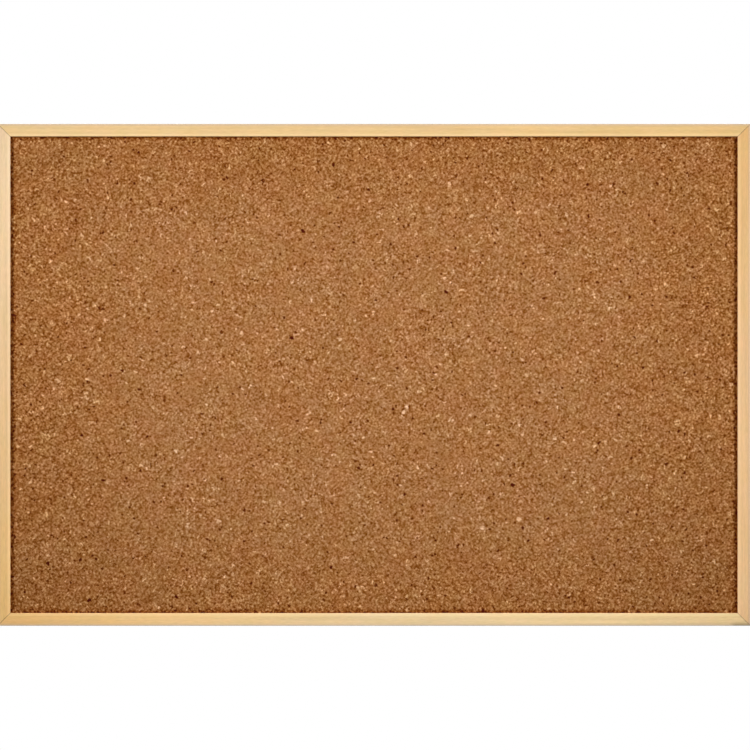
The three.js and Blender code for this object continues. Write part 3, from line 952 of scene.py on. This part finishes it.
# Place, aim and cone of the side lamp and the back lamp on the right; the left ones mirror them.
SIDE_LAMP, SIDE_AIM, SIDE_SPREAD = (2.0, -1.3, 0.6), (0.42, 0.0, -0.06), 43
BACK_LAMP, BACK_AIM, BACK_SPREAD = (0.8, 1.9, 1.4), (0.0, 0.0, -0.05), 50
FLOOR_REACH, FLOOR_SIDES = 2.6, 64
FLOOR_TONE = (0.96, 0.96, 0.96)


def add_camera(stage):
    """The camera, square on to the board."""
    scene = bpy.context.scene
    lens = bpy.data.cameras.new("camera")
    lens.lens = stage.lens
    camera = bpy.data.objects.new("camera", lens)
    distance = stage.picture_width * stage.lens / lens.sensor_width
    camera.location = (stage.aim, board_low.y - distance, -stage.dip)
    camera.rotation_euler = (math.pi / 2, 0.0, 0.0)
    scene.collection.objects.link(camera)
    scene.camera = camera


def add_lamp(name, place, target, power, spread):
    """A soft spot lamp that fades from its middle to the rim of its cone."""
    lamp = bpy.data.lights.new(name, "SPOT")
    lamp.energy = power
    lamp.spot_size = math.radians(spread)
    lamp.spot_blend = 1.0
    lamp.shadow_soft_size = 0.25
    holder = bpy.data.objects.new(name, lamp)
    holder.location = place
    holder.rotation_euler = (Vector(target) - Vector(place)).to_track_quat("-Z", "Y").to_euler()
    bpy.context.scene.collection.objects.link(holder)


def add_surroundings(stage):
    """White to look at, with only a weak even light from it."""
    world = bpy.data.worlds.new("surroundings")
    world.use_nodes = True
    bpy.context.scene.world = world
    n = Nodes(world.node_tree)
    seen = n.seen_by("Camera", "Glossy", "Transmission")
    fill = n.node("ShaderNodeBackground", {}, {"Color": WHITE, "Strength": stage.fill})
    white = n.node("ShaderNodeBackground", {}, {"Color": WHITE, "Strength": 1.0})
    both = n.node("ShaderNodeMixShader", {}, {0: seen, 1: fill.outputs[0], 2: white.outputs[0]})
    n.node("ShaderNodeOutputWorld", {}, {"Surface": both.outputs[0]})


def add_floor(stage):
    """A white floor that fades into the surroundings."""
    angles = [2.0 * math.pi * i / FLOOR_SIDES for i in range(FLOOR_SIDES)]
    rim = [(FLOOR_REACH * math.cos(a), FLOOR_REACH * math.sin(a), -stage.floor_drop) for a in angles]
    floor = bpy.data.objects.new("floor", mesh_of("floor", rim, [list(range(FLOOR_SIDES))]))
    bpy.context.scene.collection.objects.link(floor)
    f = Finish("floor", roughness=0.9)
    f.colour(linear(FLOOR_TONE))
    x, y, _ = f.split(f.place)
    away = (x * x + y * y).math("SQRT")
    amount = f.seen_by("Camera", "Glossy") * (0.7 + away.ramp(0.6, 2.2) * 0.3)
    glow = f.node("ShaderNodeEmission", {}, {"Color": WHITE, "Strength": 1.0}).outputs[0]
    mix = f.node("ShaderNodeMixShader", {}, {0: amount, 1: f.shader.outputs["BSDF"], 2: glow})
    f.feed(f.output.inputs["Surface"], mix.outputs[0])
    floor.data.materials.append(f.material)


class CORKBOARD_OT_stage(bpy.types.Operator):
    """Add the camera, the lamps, the white surroundings and the floor"""

    bl_idname = "corkboard.stage"
    bl_label = "Stage"

    def execute(self, context):
        stage = settings().stage
        context.scene.view_settings.view_transform = "Standard"
        add_camera(stage)
        for name, side in (("left", -1.0), ("right", 1.0)):
            place, aim = (side * SIDE_LAMP[0], *SIDE_LAMP[1:]), (-side * SIDE_AIM[0], *SIDE_AIM[1:])
            add_lamp(f"lamp_{name}", place, aim, stage.lamp_power, SIDE_SPREAD)
            place = (side * BACK_LAMP[0], *BACK_LAMP[1:])
            add_lamp(f"lamp_{name}_behind", place, BACK_AIM, stage.back_power, BACK_SPREAD)
        add_surroundings(stage)
        add_floor(stage)
        return {"FINISHED"}


class CORKBOARD_PT_build(bpy.types.Panel):
    """The steps that dress the board, in order"""

    bl_idname = "CORKBOARD_PT_build"
    bl_label = "Cork board"
    bl_space_type = "VIEW_3D"
    bl_region_type = "UI"
    bl_category = "Cork board"

    def draw(self, context):
        for operator in OPERATORS:
            self.layout.operator(operator.bl_idname, text=operator.bl_label)
        board = context.scene.cork_board
        for group in (board.cork, board.pine, board.back, board.stage):
            for name in group.__annotations__:
                self.layout.prop(group, name)


GROUPS = (CorkSettings, PineSettings, BackSettings, StageSettings, CorkBoardSettings)
OPERATORS = (
    CORKBOARD_OT_stage,
    CORKBOARD_OT_cork,
    CORKBOARD_OT_rails,
    CORKBOARD_OT_backing,
    CORKBOARD_OT_fixings,
    CORKBOARD_OT_hangers,
    CORKBOARD_OT_pads,
)


def register():
    for kind in (*GROUPS, *OPERATORS, CORKBOARD_PT_build):
        bpy.utils.register_class(kind)
    bpy.types.Scene.cork_board = PointerProperty(type=CorkBoardSettings)


def unregister():
    del bpy.types.Scene.cork_board
    for kind in reversed((*GROUPS, *OPERATORS, CORKBOARD_PT_build)):
        bpy.utils.unregister_class(kind)


def main():
    register()
    for operator in OPERATORS:
        group, name = operator.bl_idname.split(".")
        getattr(getattr(bpy.ops, group), name)()


if __name__ == "__main__":
    main()
